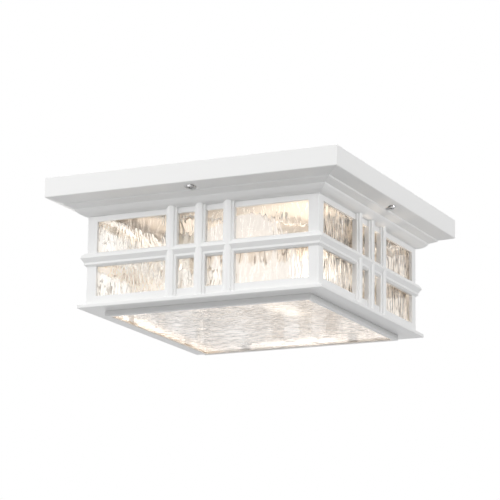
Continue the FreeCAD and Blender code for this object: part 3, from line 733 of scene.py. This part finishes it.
def bulb(letter):
    """A lit bulb: its frosted glass and its threaded base, on the lampholder's axis."""
    glass_node, base_node = "bulb_glass_" + letter, "bulb_base_" + letter
    glass_low, glass_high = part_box(glass_node)
    base_low, base_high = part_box(base_node)
    heading = 1 if glass_low.x + glass_high.x > base_low.x + base_high.x else -1
    axis = Vector((heading, 0, 0))
    middle = (glass_low + glass_high) / 2
    tip = Vector((base_low.x if heading > 0 else base_high.x, middle.y, middle.z))
    length = (glass_high.x - base_low.x) if heading > 0 else (base_high.x - glass_low.x)
    radius = (glass_high.z - glass_low.z) / 2
    collar = (base_high.z - base_low.z) / 2
    base_length = base_high.x - base_low.x

    neck = collar * neck_share
    neck_start = base_length * neck_start_share
    ball = length - radius
    run, rise = ball - base_length, radius - neck
    sweep = (run * run + rise * rise) / (2 * rise)
    swell = []
    for step in range(swell_steps + 1):
        along = base_length + run * step / swell_steps
        swell.append((along, radius - sweep + math.sqrt(sweep * sweep - (ball - along) ** 2)))
    crown = [(ball + radius * math.sin(a), radius * math.cos(a))
             for a in map(math.radians, crown_angles)]
    profile = [(neck_start, 0), (neck_start, neck)] + swell + crown + [(length, 0)]
    glass = lathe(glass_node.replace("glass", "envelope"), profile, tip, axis)
    finish_piece(glass, glass_node)

    start, end = base_length * shell_start_share, base_length

    def thread(along, angle):
        fade = min(1, (along - start) / thread_run_in, (end - along) / thread_run_out)
        turn = 0.5 + 0.5 * math.cos(2 * math.pi * (along / thread_pitch) - angle)
        return -thread_depth * turn * max(0, fade)

    outside = [(start + (end - start) * step / thread_steps, collar)
               for step in range(thread_steps + 1)]
    inside = [(end, collar - shell_wall), (start * shell_floor_ratio, collar - shell_wall),
              (start * shell_floor_ratio, 0)]
    profile = [*contact_profile, (start, collar - shoulder_drop)] + outside + inside
    base = lathe(base_node.replace("base", "cap"), profile, tip, axis, twist=thread)
    crisped(base, shell_crisp)
    finish_piece(base, base_node)


def narrow_angle(corner):
    """A corner angle whose upright legs stay behind the post, so that no pane shows them."""
    node = "corner_angle_" + corner
    source = frame["nodes"][node]
    mesh = source.data.copy()
    low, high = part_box(node)
    for axis, outer in ((0, low.x + high.x > 0), (1, low.y + high.y > 0)):
        wall = high[axis] if outer else low[axis]
        toward = -1 if outer else 1
        for vertex in mesh.vertices:
            place = source.matrix_world @ vertex.co
            reach = (place[axis] - wall) * toward
            if abs(reach - angle_leg) < angle_tolerance:
                place[axis] = wall + toward * angle_leg_seen
                vertex.co = source.matrix_world.inverted() @ place
    mesh.update()
    obj = added("angle_" + corner, mesh)
    obj.matrix_world = source.matrix_world.copy()
    finish_piece(obj, node)


# Studio

def away(azimuth, elevation):
    """The direction from the light toward an azimuth, from the front, and an elevation."""
    return Vector((math.sin(azimuth) * math.cos(elevation),
                   -math.cos(azimuth) * math.cos(elevation), math.sin(elevation)))


def camera():
    """The camera at the photograph's place and turn."""
    back = away(camera_azimuth, camera_elevation)
    level = Vector((math.cos(camera_azimuth), math.sin(camera_azimuth), 0))
    upward = back.cross(level)
    right = level * math.cos(camera_roll) + upward * math.sin(camera_roll)
    upright_axis = upward * math.cos(camera_roll) - level * math.sin(camera_roll)
    place = level * camera_aim_right + Vector((0, 0, camera_aim_up)) + back * camera_distance
    data = bpy.data.cameras.new("camera")
    data.sensor_width = sensor_width
    data.lens = focal_pixels / picture_width * sensor_width
    data.clip_start, data.clip_end = camera_clip
    obj = added("camera", data)
    obj.matrix_world = Matrix((
        (right.x, upright_axis.x, back.x, place.x),
        (right.y, upright_axis.y, back.y, place.y),
        (right.z, upright_axis.z, back.z, place.z),
        (0, 0, 0, 1)))
    bpy.context.scene.camera = obj


def seen_rays(tree, add):
    """1 for the rays that show the surround to the camera, to metal and to glass, else 0."""
    path = add("ShaderNodeLightPath")
    seen = path.outputs["Is Camera Ray"]
    for ray in ("Is Glossy Ray", "Is Transmission Ray"):
        either = add("ShaderNodeMath")
        either.operation = "MAXIMUM"
        tree.links.new(seen, either.inputs[0])
        tree.links.new(path.outputs[ray], either.inputs[1])
        seen = either.outputs["Value"]
    return seen


def floor():
    """A pale floor, well below the light, that looks white and still takes its shadow."""
    half = floor_size / 2
    corners = [(-half, -half, -floor_drop), (half, -half, -floor_drop),
               (half, half, -floor_drop), (-half, half, -floor_drop)]
    obj = mesh_object("floor", corners, [(0, 1, 2, 3)], smooth=False)
    made, tree, shader, add = material("floor_paper")
    shader.inputs["Base Color"].default_value = floor_colour
    shader.inputs["Roughness"].default_value = floor_roughness
    lit = add("ShaderNodeEmission", Strength=floor_glow)
    unlit = add("ShaderNodeEmission", Strength=0)
    both = add("ShaderNodeAddShader")
    glow_seen = chosen(tree, seen_rays(tree, add), unlit.outputs["Emission"],
                       lit.outputs["Emission"])
    tree.links.new(shader.outputs["BSDF"], both.inputs[0])
    tree.links.new(glow_seen, both.inputs[1])
    tree.links.new(both.outputs["Shader"], tree.nodes["Material Output"].inputs["Surface"])
    obj.data.materials.append(made)


def world():
    """A plain white surround: full white to the camera, metal and glass, softer as a light."""
    made = bpy.data.worlds.new("studio")
    made.use_nodes = True
    tree = made.node_tree
    add = adder(tree)
    lit = tree.nodes["Background"]
    lit.inputs["Color"].default_value = white
    lit.inputs["Strength"].default_value = world_light
    seen = add("ShaderNodeBackground", Color=white, Strength=1)
    surround = chosen(tree, seen_rays(tree, add), lit.outputs["Background"],
                      seen.outputs["Background"])
    tree.links.new(surround, tree.nodes["World Output"].inputs["Surface"])
    bpy.context.scene.world = made


def aimed(obj, place, aim):
    """Puts a lamp at a place, facing along its aim."""
    obj.location = place
    obj.rotation_mode = "QUATERNION"
    obj.rotation_quaternion = aim.to_track_quat("-Z", "Y")


def unseen(obj):
    """Hides a lamp itself from the camera, metal and glass."""
    obj.visible_glossy = obj.visible_transmission = obj.visible_camera = False


def lamp(name, azimuth, elevation, distance, size, power):
    """A soft square lamp that faces the light, with its azimuth measured as the camera's is."""
    data = bpy.data.lights.new(name, "AREA")
    data.size = size
    data.energy = power
    toward = away(math.radians(azimuth), math.radians(elevation))
    aimed(added(name, data), toward * distance, -toward)


def inside_lamp(name, place, size, aim, power):
    """A warm disc inside the cover, for the light that the walls throw about."""
    data = bpy.data.lights.new(name, "AREA")
    data.shape = "DISK"
    data.size = size * MM
    data.energy = power
    data.color = glow_colour
    obj = added(name, data)
    aimed(obj, Vector(place) * MM, Vector(aim))
    unseen(obj)


def glow(name, node):
    """The light that a bulb throws about it, from a ball just larger than its glass."""
    low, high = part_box(node)
    base_low, base_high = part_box(node.replace("glass", "base"))
    radius = (high.z - low.z) / 2
    middle = (low + high) / 2
    head = high.x - radius if middle.x > (base_low.x + base_high.x) / 2 else low.x + radius
    data = bpy.data.lights.new(name, "POINT")
    data.energy = glow_power
    data.color = glow_colour
    data.shadow_soft_size = radius * glow_reach
    data.use_soft_falloff = False
    obj = added(name, data)
    obj.location = (head, middle.y, middle.z - radius * glow_drop)
    unseen(obj)


# The making

for node, obj in frame["nodes"].items():
    dress(obj, slot_of[node])
# The left frame wears the paint with painted bulb light on its inner faces
frame["nodes"]["side_frame_left"].data.materials[0] = left_frame_painted_light

for number, side in enumerate(("front", "right", "back", "left")):
    pane = rippled_plate("pane_" + side, "side_glass_" + side, number % 2, 2, pane_streak,
                         pane_ripple_depth, pane_seed + pane_seed_step * number)
    if side in other_glass:
        pane.data.materials[0] = other_glass[side]
lens = rippled_plate("lens", "lens_glass", 1, 0, lens_streak, lens_ripple_depth, lens_seed)
lens.data.materials[0] = lens_glass
for letter in ("a", "b"):
    bulb(letter)
for corner in ("front_left", "front_right", "back_left", "back_right"):
    narrow_angle(corner)

camera()
floor()
world()
for row in lamps:
    lamp(*row)
for letter in ("a", "b"):
    glow("glow_" + letter, "bulb_glass_" + letter)
for row in inside_lamps:
    inside_lamp(*row)

bpy.context.scene.view_settings.view_transform = "Standard"
